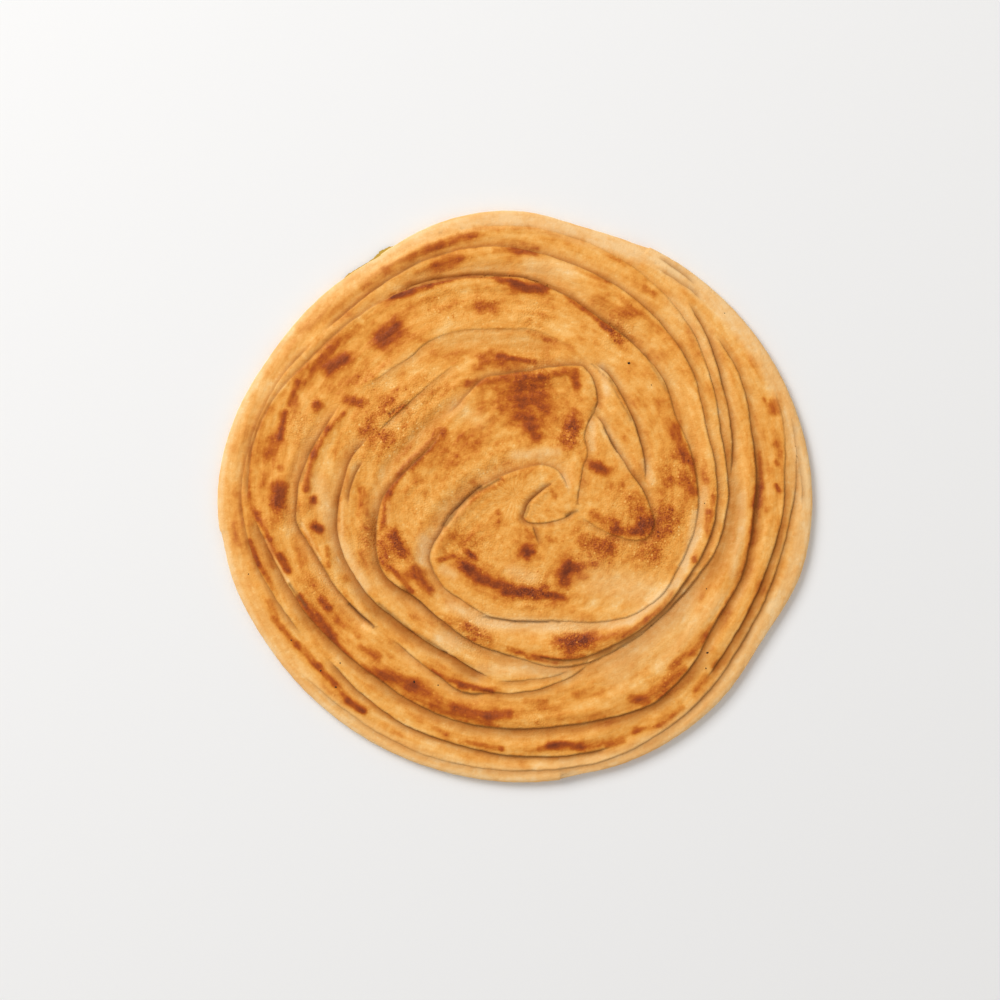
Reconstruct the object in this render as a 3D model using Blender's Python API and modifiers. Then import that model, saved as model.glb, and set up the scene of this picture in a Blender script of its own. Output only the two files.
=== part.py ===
# Coiled paratha: a round, flaky flatbread pressed from a coil of folded dough.
# One solid. Metres, +Z up, origin at the middle of the flat underside.

import math

import bpy
from mathutils import Vector

# Overall size
bread_width = 0.175
bread_depth = 0.1685
crown_height = 0.0058
rim_height = 0.0031

# Outline of the rim in millimetres, every 15 degrees clockwise from +Y
rim_radii = (83.9, 81.7, 83.3, 84.2, 85.4, 86.6, 87.5, 87.2, 84.3, 85.3, 85.3, 84.8,
             84.3, 83.8, 83.8, 84.2, 85.1, 86.9, 87.5, 85.7, 83.0, 81.9, 81.3, 83.5)

# The coil: five sheets side by side wind inwards, each lapping over the one outside it
sheet_count = 5
sheet_width = 0.011
first_fold_radius = 0.0794
fold_lift = 0.0013
lip_share = 0.14
gather = 0.55
fold_start_radius = 0.024
fold_full_radius = 0.034
calm_rim = 0.005

# How far the coil sits off centre along y and x, and how much its folds waver
coil_shift = (0.00245, 0.0009)
waver_wide = 0.0011
waver_fine = 0.0006

# Slow rise and fall of the sheets
swell = 0.00035

# Two leaves close the middle of the coil: centre x, y, half sizes x, y, lift
core_leaves = (
    {"centre": (0.001, 0.023), "half_size": (0.020, 0.0145), "lift": 0.0005},
    {"centre": (0.010, -0.015), "half_size": (0.033, 0.0215), "lift": 0.0008},
)
leaf_edge = 0.002

# Width of the rounded rim, as a share of the radius
rim_width = 0.018

# Mesh density
turn_steps = 100
top_rings = 40
rim_steps = 5
underside_rings = 2

dough_color = (0.76, 0.40, 0.115, 1.0)
dough_roughness = 0.6


def clear_scene():
    for item in list(bpy.data.objects):
        bpy.data.objects.remove(item, do_unlink=True)


def smooth_step(low, high, value):
    share = min(max((value - low) / (high - low), 0.0), 1.0)
    return share * share * (3.0 - 2.0 * share)


def rim_radius(angle):
    """Outline radius at a clockwise angle from +Y: a smooth curve through rim_radii."""
    count = len(rim_radii)
    place = angle / (2.0 * math.pi) * count
    index = math.floor(place)
    t = place - index
    before, here, after, beyond = (rim_radii[(index + k) % count] for k in (-1, 0, 1, 2))
    bend = 2.0 * before - 5.0 * here + 4.0 * after - beyond
    curl = 3.0 * (here - after) + beyond - before
    millimetres = here + 0.5 * t * (after - before + bend * t + curl * t * t)
    return 0.001 * millimetres


def fold_phase(angle, radius):
    """Whole numbers lie on the folds; the phase grows outwards and with each turn of the coil."""
    drift = coil_shift[0] * (math.cos(angle) - 1.0) - coil_shift[1] * math.sin(angle)
    waver = waver_wide * math.sin(3.0 * angle + 0.7)
    waver += waver_fine * math.sin(7.0 * angle + 60.0 * radius)
    turned = sheet_count * angle / (2.0 * math.pi)
    return (radius - first_fold_radius - drift - waver) / sheet_width + turned


def gather_radius(angle, radius, edge):
    """Move a point towards the nearest fold, so that the fold's step is short and steep."""
    hold = smooth_step(fold_start_radius, fold_full_radius, radius)
    hold *= smooth_step(0.0, calm_rim, edge - radius)
    phase = fold_phase(angle, radius) + lip_share / 2.0
    return radius - hold * gather * sheet_width * math.sin(2.0 * math.pi * phase) / (2.0 * math.pi)


def fold_height(angle, radius, edge):
    """Each sheet rises outwards to its lip and drops to the next sheet."""
    share = fold_phase(angle, radius) % 1.0
    drop = smooth_step(1.0 - lip_share, 1.0, share)
    fade = smooth_step(fold_start_radius, fold_full_radius, radius)
    fade *= smooth_step(0.0, calm_rim, edge - radius)
    return fold_lift * fade * share ** 1.5 * (1.0 - drop)


def swell_height(x, y):
    return swell * (math.sin(130.0 * x + 0.8) * math.cos(95.0 * y - 0.4)
                    + 0.6 * math.sin(210.0 * y + 150.0 * x))


def leaf_height(x, y):
    total = 0.0
    for leaf in core_leaves:
        across = (x - leaf["centre"][0]) / leaf["half_size"][0]
        along = (y - leaf["centre"][1]) / leaf["half_size"][1]
        inside = (1.0 - math.hypot(across, along)) * min(leaf["half_size"])
        total += leaf["lift"] * smooth_step(-leaf_edge / 2.0, leaf_edge / 2.0, inside)
    return total


def shape_point(co):
    """Take a point of the turned blank (unit radius, height 0 to 1) to its place on the bread."""
    angle = math.atan2(co.x, co.y) % (2.0 * math.pi)
    share = math.hypot(co.x, co.y)
    edge = rim_radius(angle)
    radius = gather_radius(angle, share * edge, edge) if co.z > 0.5 else share * edge
    x = radius * math.sin(angle)
    y = radius * math.cos(angle)
    dome = rim_height + (crown_height - rim_height) * (1.0 - (radius / edge) ** 2)
    waves = swell_height(x, y) * smooth_step(0.0, calm_rim, edge - radius)
    top = dome + fold_height(angle, radius, edge) + waves + leaf_height(x, y)
    return Vector((x, y, co.z * top))


def blank_profile():
    """Half section at unit radius, from the crown out over the rim and back along the underside."""
    points = [((1.0 - rim_width) * k / top_rings, 1.0) for k in range(top_rings + 1)]
    for k in range(1, rim_steps + 1):
        turn = math.pi * k / rim_steps
        points.append((1.0 - rim_width + rim_width * math.sin(turn), 0.5 + 0.5 * math.cos(turn)))
    for k in range(underside_rings, -1, -1):
        points.append(((1.0 - rim_width) * k / (underside_rings + 1), 0.0))
    return points


def turned_blank(collection):
    points = blank_profile()
    mesh = bpy.data.meshes.new("blank_profile")
    mesh.from_pydata([(x, 0.0, z) for x, z in points], [(k, k + 1) for k in range(len(points) - 1)], [])
    profile = bpy.data.objects.new("blank_profile", mesh)
    collection.objects.link(profile)
    turn = profile.modifiers.new("turn", "SCREW")
    turn.angle = 2.0 * math.pi
    turn.steps = turn_steps
    turn.render_steps = turn_steps
    turn.use_merge_vertices = True
    turn.merge_threshold = 0.0001
    turn.use_smooth_shade = True
    bpy.context.view_layer.update()
    evaluated = profile.evaluated_get(bpy.context.evaluated_depsgraph_get())
    blank = bpy.data.meshes.new_from_object(evaluated)
    bpy.data.objects.remove(profile, do_unlink=True)
    return blank


def fit_to_size(mesh):
    """Scale and centre the outline on the named width and depth."""
    for axis, size in ((0, bread_width), (1, bread_depth)):
        low = min(vertex.co[axis] for vertex in mesh.vertices)
        high = max(vertex.co[axis] for vertex in mesh.vertices)
        for vertex in mesh.vertices:
            vertex.co[axis] = (vertex.co[axis] - (low + high) / 2.0) * size / (high - low)


def dough_material():
    material = bpy.data.materials.new("baked dough")
    material.use_nodes = True
    shader = material.node_tree.nodes["Principled BSDF"]
    shader.inputs["Base Color"].default_value = dough_color
    shader.inputs["Roughness"].default_value = dough_roughness
    shader.inputs["Metallic"].default_value = 0.0
    material.diffuse_color = dough_color
    return material


def build_paratha(collection):
    mesh = turned_blank(collection)
    mesh.name = "paratha"
    for vertex in mesh.vertices:
        vertex.co = shape_point(vertex.co)
    fit_to_size(mesh)
    mesh.materials.append(dough_material())
    mesh.shade_smooth()
    mesh.set_sharp_from_angle(angle=math.radians(50.0))
    bread = bpy.data.objects.new("paratha", mesh)
    collection.objects.link(bread)
    return bread


clear_scene()
bread_collection = bpy.data.collections.new("coiled paratha")
bpy.context.scene.collection.children.link(bread_collection)
build_paratha(bread_collection)
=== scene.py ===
import math

import bmesh
import bpy
import numpy as np
from mathutils import Matrix, Vector, noise
from mathutils.bvhtree import BVHTree
from mathutils.geometry import delaunay_2d_cdt
from mathutils.kdtree import KDTree


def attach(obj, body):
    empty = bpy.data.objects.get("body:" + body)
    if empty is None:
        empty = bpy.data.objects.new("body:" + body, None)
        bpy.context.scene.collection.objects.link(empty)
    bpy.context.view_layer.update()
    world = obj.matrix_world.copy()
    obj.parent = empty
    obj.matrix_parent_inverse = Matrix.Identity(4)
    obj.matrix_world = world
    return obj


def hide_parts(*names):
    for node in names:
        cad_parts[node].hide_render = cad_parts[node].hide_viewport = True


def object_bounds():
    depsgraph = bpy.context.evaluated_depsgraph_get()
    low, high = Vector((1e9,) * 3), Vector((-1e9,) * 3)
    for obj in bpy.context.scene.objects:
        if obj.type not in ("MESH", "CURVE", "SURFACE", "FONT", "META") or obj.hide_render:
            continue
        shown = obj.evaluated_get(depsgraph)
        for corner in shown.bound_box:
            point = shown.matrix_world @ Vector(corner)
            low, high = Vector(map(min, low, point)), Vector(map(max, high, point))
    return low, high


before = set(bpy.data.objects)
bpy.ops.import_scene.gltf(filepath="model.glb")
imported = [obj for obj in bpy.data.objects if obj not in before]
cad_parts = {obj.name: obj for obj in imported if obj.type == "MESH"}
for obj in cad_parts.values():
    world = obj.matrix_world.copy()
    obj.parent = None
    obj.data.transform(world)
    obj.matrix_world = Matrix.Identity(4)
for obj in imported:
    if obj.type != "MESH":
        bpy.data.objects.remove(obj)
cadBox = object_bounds()
mm = 0.001

# Sizes are in millimetres. Angles are clock angles: 0 at the back (+Y), growing clockwise.
bread = {
    "gap": 0.6,              # between points of the upper face
    "underGap": 2.0,
    "rowGap": 0.5,           # between points along a fold
    "rimGap": 0.65,          # between points round the rim
    "radius": 85.0,
    "inset": 0.35,           # from the outline to the outermost points of the upper face
    "underInset": 1.8,
    "foldClear": 0.85,       # free space beside a fold's line
    "nudge": 0.35,           # how far points stray from an even pattern, as a share of their gap
    "nudgeSize": 1.7,
    "leastOpen": 0.04,       # a fold that is less open gets no rows of points
    "edgeRise": 2.3,         # thickness where the upper face starts
    "rimRise": 0.75,         # added over the rounded rim
    "rimWidth": 4.0,
    "crown": 2.6,            # added from the rim to the middle
    "outline": (83.9, 81.7, 83.3, 84.2, 85.4, 86.6, 87.5, 87.2, 84.3, 85.3, 85.3, 84.8,
                84.3, 83.8, 83.8, 84.2, 85.1, 86.9, 87.5, 85.7, 83.0, 81.9, 81.3, 83.5),
    # where one sheet of the rim stops short: angle, how far in, degrees until it is level again
    "ledges": ((28.5, 1.2, 5.0), (170.8, 2.0, 4.5), (263.2, 0.9, 6.0), (331.0, 0.5, 3.0)),
    "ledgeTurn": 0.45,       # degrees over which it stops
}

# Every fold runs clockwise. Its upper sheet lies on the inside, or on the outside with up "out".
# start and step are angles, radii the distances from the middle, tail goes on in x and y.
# bold says how strongly the fold stands out, evenly along its length.
foldStyle = dict(up="in", lift=0.7, tuck=0.5, reach=6, dip=4, fade=(7, 7), bold=(1, 1), shadeWidth=(1.4,),
                 shadeDepth=(0.8,), tail=())
folds = {
    "coil": dict(start=345, step=15, fade=(20, 9), lift=0.6, tuck=0.65, reach=8, dip=6.5,
        shadeWidth=(2, 2, 1.4, 1.4, 2, 5, 5, 4.5, 2, 2, 2, 2),
        shadeDepth=(0.2, 0.3, 0.35, 0.45, 0.6, 0.65, 0.5, 0.5, 0.7, 1, 0.8, 0.6),
        bold=(0.3, 0.35, 0.4, 0.4, 0.5, 0.65, 0.85, 0.9, 0.9, 0.75, 0.65, 0.8, 1, 1, 0.8, 0.6),
        radii=(80.2, 79.4, 77.5, 75, 71.7, 66.6, 62.9, 62.4, 60.8, 57, 55, 53.7, 52, 47, 44.7, 42.3, 41.7,
            44.7, 42, 38.3, 32, 28.4, 29)),
    "twin": dict(start=41, step=9, radii=(76.6, 73.3, 69.9, 67.4, 65.4, 63.4), lift=0.4, tuck=0.3, reach=4),
    "ring": dict(start=50, step=12, lift=0.6, tuck=0.5, reach=8, dip=4.5,
        shadeWidth=(1.6, 2, 2.8, 2.4, 2.4, 2), shadeDepth=(0.7, 1, 1, 0.8, 0.8, 0.8),
        bold=(0.5, 0.6, 0.8, 0.9, 0.8, 0.8, 0.85, 0.85, 0.9, 1, 0.8, 0.8, 0.9, 0.9),
        radii=(75.6, 74.8, 72.1, 70.8, 70.1, 70.5, 69.4, 71.8, 72.9, 70.4, 68.6, 68.2, 68.1, 67.4, 66.9,
            68.4, 70.5, 72.8, 77.4)),
    "rimEast": dict(start=65, step=10, lift=0.4, tuck=0.4, dip=3.2, shadeWidth=(2, 2, 2.6, 2.6),
        shadeDepth=(0.2, 0.4, 1, 1, 1), bold=(0.3, 0.45, 0.8, 1, 1, 0.9),
        radii=(83.2, 81.5, 79.5, 78.5, 77, 76.4, 76.5, 78)),
    "rimSouth": dict(start=76, step=12, lift=0.5, tuck=0.4, reach=5, dip=3, fade=(16, 12),
        bold=(0.4, 0.7, 0.8, 0.7, 0.5, 0.45, 0.4, 0.4, 0.4),
        radii=(84.8, 82.5, 80.2, 79.3, 79.3, 80.8, 81.6, 82, 81.2, 80.5, 80.4, 80.2, 80.3, 82)),
    "lowSouth": dict(start=158, step=12, lift=0.4, radii=(79.3, 77.5, 76, 74.8, 74.5, 73.4, 72.8)),
    "second": dict(start=310, step=15, lift=0.6, tuck=0.5, dip=4,
        bold=(0.8, 0.9, 0.7, 0.6, 0.6, 0.7, 0.7, 0.7, 0.6, 0.6, 0.7, 0.9, 1, 0.9, 0.8, 0.7),
        radii=(74.2, 73, 74, 73.6, 70.8, 68.5, 66.3, 63.5, 59.5, 59.2, 58.6, 56, 54.4, 52.5, 50.8, 47)),
    "rimWest": dict(start=236, step=12, lift=0.5, tuck=0.3, dip=3, bold=(0.7, 0.5),
        radii=(74.5, 76.8, 79.3, 80.3, 79, 77.1, 74.2)),
    "westTwin": dict(start=268, step=12, lift=0.5, tuck=0.35, shadeDepth=(0.5,),
        bold=(0.8, 0.8, 0.7, 0.6, 0.5),
        radii=(78.6, 78.4, 76.3, 72.1, 70.2, 68.8, 66.7, 64.8, 63.8, 61.8)),
    "heart": dict(start=327, step=12, lift=0.6, tuck=0.8, reach=7, dip=6,
        shadeWidth=(1.4, 1.4, 1.5, 2, 2, 2, 2, 2), shadeDepth=(1, 1, 0.8, 0.4, 0.3, 0.4, 0.6, 0.5),
        fade=(9, 5),
        bold=(0.7, 0.9, 0.9, 0.7, 0.8, 0.7, 0.6, 0.6, 0.5, 0.45, 0.45, 0.45, 0.55, 0.7, 1.4, 1.3, 0.6,
            0.5),
        radii=(69.5, 67.8, 65.3, 63.6, 60.4, 57.5, 56.4, 55.3, 52.7, 53, 53.4, 53.7, 52.5, 51.8, 49.1, 44,
            39.2, 37, 36.4, 35.6, 34.3, 33.8, 31.7),
        tail=((-24.4, -15.5), (-21.6, -10.5), (-18.2, -5.2), (-11.5, 1.4), (-5, 5.4), (1, 7.7), (7, 9),
            (11.5, 8.2), (14, 5.2), (15.8, 1.2))),
    "southA": dict(start=153, step=10, lift=0.4, reach=3, tuck=0.3, bold=(0.7, 0.7),
        radii=(53.4, 55.4, 57, 57.8, 58.2)),
    "southB": dict(start=162, step=8, lift=0.3, reach=2.5, tuck=0.3, fade=(4, 4), bold=(0.5, 0.6),
        radii=(54, 54.1, 54.1, 54.7)),
    "southC": dict(start=186, step=9, lift=0.6, reach=4, shadeDepth=(0.4,),
        radii=(58.2, 59.3, 57.2, 55.8, 55.2)),
    "westInner": dict(start=187, step=12, lift=0.7, tuck=0.8, dip=5, shadeWidth=(3, 2.8, 2.2, 1.7),
        shadeDepth=(1, 1, 0.9, 0.8), bold=(1.1, 1.2, 1.2, 1.1, 0.9, 0.9, 0.9, 0.6),
        radii=(54, 50.8, 49.9, 50.2, 51.7, 52.8, 53, 50.9, 49, 45.4)),
    "northInner": dict(start=294, step=9, up="out", lift=0.4, tuck=0.3, fade=(4, 6),
        bold=(0.4, 0.7, 0.4, 0.2), radii=(44.6, 42.6, 41.6, 41.2, 41.8, 42.6)),
    "westMiddle": dict(start=226, step=9, lift=0.7, tuck=0.9, dip=5, shadeWidth=(1.5,),
        bold=(1.4, 1.1, 1, 1, 0.9, 0.8), radii=(55.9, 57.3, 59.2, 60.6, 64, 63.6, 61.8, 59.4, 57.6)),
    "northSheet": dict(start=304, step=9, up="out", lift=0.4, tuck=0.25, dip=5,
        bold=(0.3, 0.45, 0.4, 0.3, 0.1), radii=(55.4, 52.6, 51.2, 51.9, 51.4, 49.8, 49, 48.9, 47.4, 46.6)),
    "westSliver": dict(start=266, step=6, lift=0.25, reach=2.5, tuck=0.25, fade=(4, 4),
        radii=(49, 48.3, 46.9, 45.2)),
    "eastSheet": dict(start=29, step=12, radii=(45.4,), lift=0.6, fade=(5, 5), bold=(0.7, 0.9, 0.7),
        tail=((27.3, 35.4), (31.6, 28.5), (34.7, 21.7), (36.9, 14.9), (38.1, 8.7), (38, 3.4))),
    "petal": dict(start=316, step=10, lift=0.7, tuck=0.45, fade=(6, 4),
        bold=(0.5, 0.7, 0.8, 0.7, 0.45, 0.35), radii=(31, 31.2, 33, 35.6, 35.8, 36.8, 39.2, 42.6),
        tail=((21.3, 36.6), (23, 33.2), (23.9, 28.8), (23.4, 25.4), (21.2, 21), (20.3, 17), (21.2, 12.4),
            (19.6, 7.5), (18.7, 1.4), (18.3, -3))),
    "lobe": dict(start=43.5, step=10, radii=(33.6,), lift=0.6, tuck=0.5, fade=(3, 4),
        bold=(0.6, 0.8, 0.8, 0.5, 0.4, 0.35),
        tail=((26, 20.4), (27.8, 15.8), (31, 11.6), (34, 6.6), (37, 2.4), (39.3, -2.8), (40.6, -8), (38.6,
            -12.2), (34.1, -12.8), (28.5, -11.2), (23, -8.6), (18.6, -5.6))),
    "leaf": dict(start=105.8, step=10, radii=(17.9,), lift=0.4, reach=3, fade=(2, 3), dip=2, tuck=0.4,
        bold=(0.5, 0.5, 0.6, 1, 1, 0.9),
        tail=((14, -6.5), (10, -7.6), (6, -8), (2.7, -6.9), (3.3, -4), (4.6, -1.5), (7.5, 1.1), (11.2,
            4))),
    "split": dict(start=148, step=10, radii=(9.6,), lift=0.2, tuck=0.2, reach=2, dip=1.5, fade=(2, 3),
        tail=((5.9, -11.2), (7, -15))),
    "rimLeafA": dict(start=30.6, step=3.5, lift=0.2, tuck=0.15, reach=2, dip=1.5, fade=(3, 3),
        bold=(0.5, 0.5), radii=(81.4, 81.6, 81.6, 81.2)),
    "rimLeafB": dict(start=32, step=3, lift=0.2, tuck=0.15, reach=2, dip=1.5, fade=(3, 3), bold=(0.5, 0.5),
        radii=(78.8, 78.9, 79, 79.4, 79.2)),
    "rimLeafC": dict(start=73, step=5, lift=0.2, tuck=0.15, reach=2, dip=1.5, fade=(5, 5), bold=(0.4, 0.5),
        radii=(84.2, 83.9, 83.8, 84.3, 84.2)),
}

# The darkest gaps along the folds, cut into the crust and darkened with painted shade: x, y at both ends,
# half width, strength
gaps = (
    (-4.6, 5, -10, 1.8, 0.5, 0.9), (-10, 2.6, -17, -3.6, 0.65, 1), (-17, -3.6, -20.6, -8.6, 0.7, 0.9),
    (-20.6, -8.6, -23.6, -13, 0.6, 0.5), (-48.6, -31.8, -41.4, -38.4, 0.5, 1),
    (-66, -26, -61.6, -32, 0.45, 0.9), (63.6, 25, 64.4, 10, 0.3, 0.3), (-10, -35.2, 0, -36.8, 0.25, 0.7),
    (0, -36.8, 13, -37.1, 0.25, 0.7), (17.8, -4.5, 15.2, -5.8, 0.6, 0.9), (2.8, -6.6, 4.6, -1.6, 0.25, 0.6),
    (4.6, -1.6, 10.6, 3.6, 0.25, 0.6), (18.6, 1.6, 18.2, -4, 0.25, 0.6), (-37, 24, -32, 27.6, 0.3, 0.7),
    (-33, -26.6, -27.6, -31.2, 0.35, 0.6), (-27.6, -31.2, -20.6, -38, 0.35, 0.6),
    (-40, -31.6, -30, -39.8, 0.4, 0.7), (-30, -39.8, -20, -45.9, 0.4, 0.7),
    (-20, -45.9, -12, -50, 0.3, 0.3), (-51.6, 0, -52, -9, 0.35, 0.5), (25, 52, 35, 45, 0.35, 0.6),
    (38, 42, 45, 30, 0.3, 0.5), (23.9, 27, 21.6, 22, 0.35, 0.6), (26, 20, 30, 12.8, 0.3, 0.7),
    (22.6, 38.6, 28, 33.6, 0.3, 0.5), (28, 33.6, 34, 22, 0.3, 0.6), (50, -28.2, 40, -38, 0.3, 0.4),
    (40, -38, 30, -44.6, 0.3, 0.5), (30, -44.8, 20, -48.8, 0.3, 0.35), (71.6, 5, 71, -8, 0.4, 0.4),
    (-22, 77.4, -10, 79.6, 0.3, 0.3), (-10, 79.6, 6, 79.2, 0.3, 0.3), (-24, 63.4, -8, 65.2, 0.5, 0.5),
    (-8, 65.2, 4, 64.2, 0.5, 0.5), (-64, -2, -62.6, -9, 0.4, 0.4), (-60, 13, -62.6, 4, 0.35, 0.4),
)

# Long ridges (height above 0) and hollows (below 0) of the upper face: height, half width, course
swells = (
    # round the heart of the coil
    (0.45, 2.6, ((-37.5, -1), (-37, -7), (-34.5, -14), (-28.5, -23), (-22, -30.5), (-15, -36.5), (-8, -40.3),
                 (2, -42.8), (12, -43.7), (22, -42.6), (32, -39), (40, -33.8), (46.5, -27))),
    (0.4, 1.6, ((-43.5, 3), (-43.8, -7), (-43, -17), (-39, -22))),
    (-0.5, 0.8, ((-40.6, 1), (-40.9, -9), (-40.2, -18))),
    (-0.5, 1.9, ((-40.6, 1), (-37.2, 9), (-32, 14.8), (-26, 20.6), (-19, 25.8), (-12, 30))),
    (0.5, 1.3, ((-37, 2), (-32, 8), (-27, 13.5), (-22, 18.8))),
    (-0.3, 3.2, ((-27, 42), (-17, 45), (-6, 45.4), (5, 44.4), (14, 41.5))),
    (0.35, 2.4, ((-4, 33.5), (6, 35), (15, 36), (19.5, 32), (19, 25))),
    # left and back
    (0.3, 1.8, ((-50.5, 25), (-56, 17.5), (-59.6, 9), (-61, 1), (-60.4, -6), (-57.5, -14), (-52.5, -22),
                (-46, -29))),
    (0.35, 1.7, ((-49, 29), (-44, 32.5), (-37.5, 36), (-31.5, 40.5))),
    (0.4, 2, ((-74.6, 4), (-73.8, -5), (-70.5, -14), (-66, -23), (-61, -31), (-56, -38.3), (-50, -44.8),
                (-42, -50.6), (-33, -55.5))),
    (0.3, 1.7, ((-79.6, 5), (-79.6, -5), (-77.8, -14), (-73.8, -25), (-69, -35), (-63.5, -44), (-57, -52),
                (-49, -60), (-39, -66.5))),
    (0.4, 1.5, ((-77.5, 15), (-74.8, 23.5), (-70, 32), (-63, 40), (-55, 47.4), (-46, 53.7))),
    (0.3, 2.2, ((-46, 60), (-38, 66), (-28, 71.6), (-18, 75.4), (-8, 77.2), (4, 77.2))),
    (0.3, 2.6, ((12, 65.5), (22, 60.5), (31, 54.5), (39, 47))),
    # right and front
    (0.35, 1.6, ((43, 51), (48, 43.8), (51.8, 35.5), (54.3, 27), (56, 18), (57, 8), (57, -3))),
    (0.3, 1.3, ((50, 54.5), (55, 46.5), (58.4, 38), (60.7, 29), (61.8, 20))),
    (0.35, 1.4, ((67.8, 25), (69, 15), (69.3, 5), (68.9, -5), (67.6, -14))),
    (-0.3, 1.3, ((81, 24), (82, 14), (82.2, 3), (81.4, -8))),
    (0.35, 2.2, ((66.6, -10), (64.2, -19), (60.2, -28), (55.2, -36), (49, -44), (42, -51), (33, -57.5),
                 (23, -62), (12, -64.8), (1, -65.6), (-9, -65), (-19, -62), (-28, -58))),
    (0.3, 1.9, ((74.6, -5), (73.6, -14), (71, -23), (66.6, -32), (61, -41), (54.5, -49), (46.5, -57),
                (37, -63.8), (26, -69), (13, -72.6), (0, -74), (-13, -73), (-25, -69.5))),
)

# Burnt grains on the upper face: x, y, size
grains = (
    (33.4, 38.9, 0.9), (40, 32.5, 0.4), (-29.6, -54.5, 0.8), (-22.6, -55.5, 0.45), (56.5, -46, 0.75),
    (56, -50.6, 0.5), (56.2, -27.3, 0.4), (-57, -51.3, 0.6), (-52.6, -56.1, 0.65), (-65.7, -42.3, 0.5),
    (-51.3, -49, 0.5), (-78.3, -23, 0.4), (61.6, 53.7, 0.35), (55.6, -2.2, 0.35),
)

# A scrap of oily film that shows under the rim: angle, how far it reaches out
filmEdge = ((321.5, 0.0), (322.7, 0.5), (324.5, 0.4), (327.5, 0.3), (329.0, 0.5), (330.3, 1.0), (331.6, 1.0),
            (333.0, 0.7), (334.4, 0.0))
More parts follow.
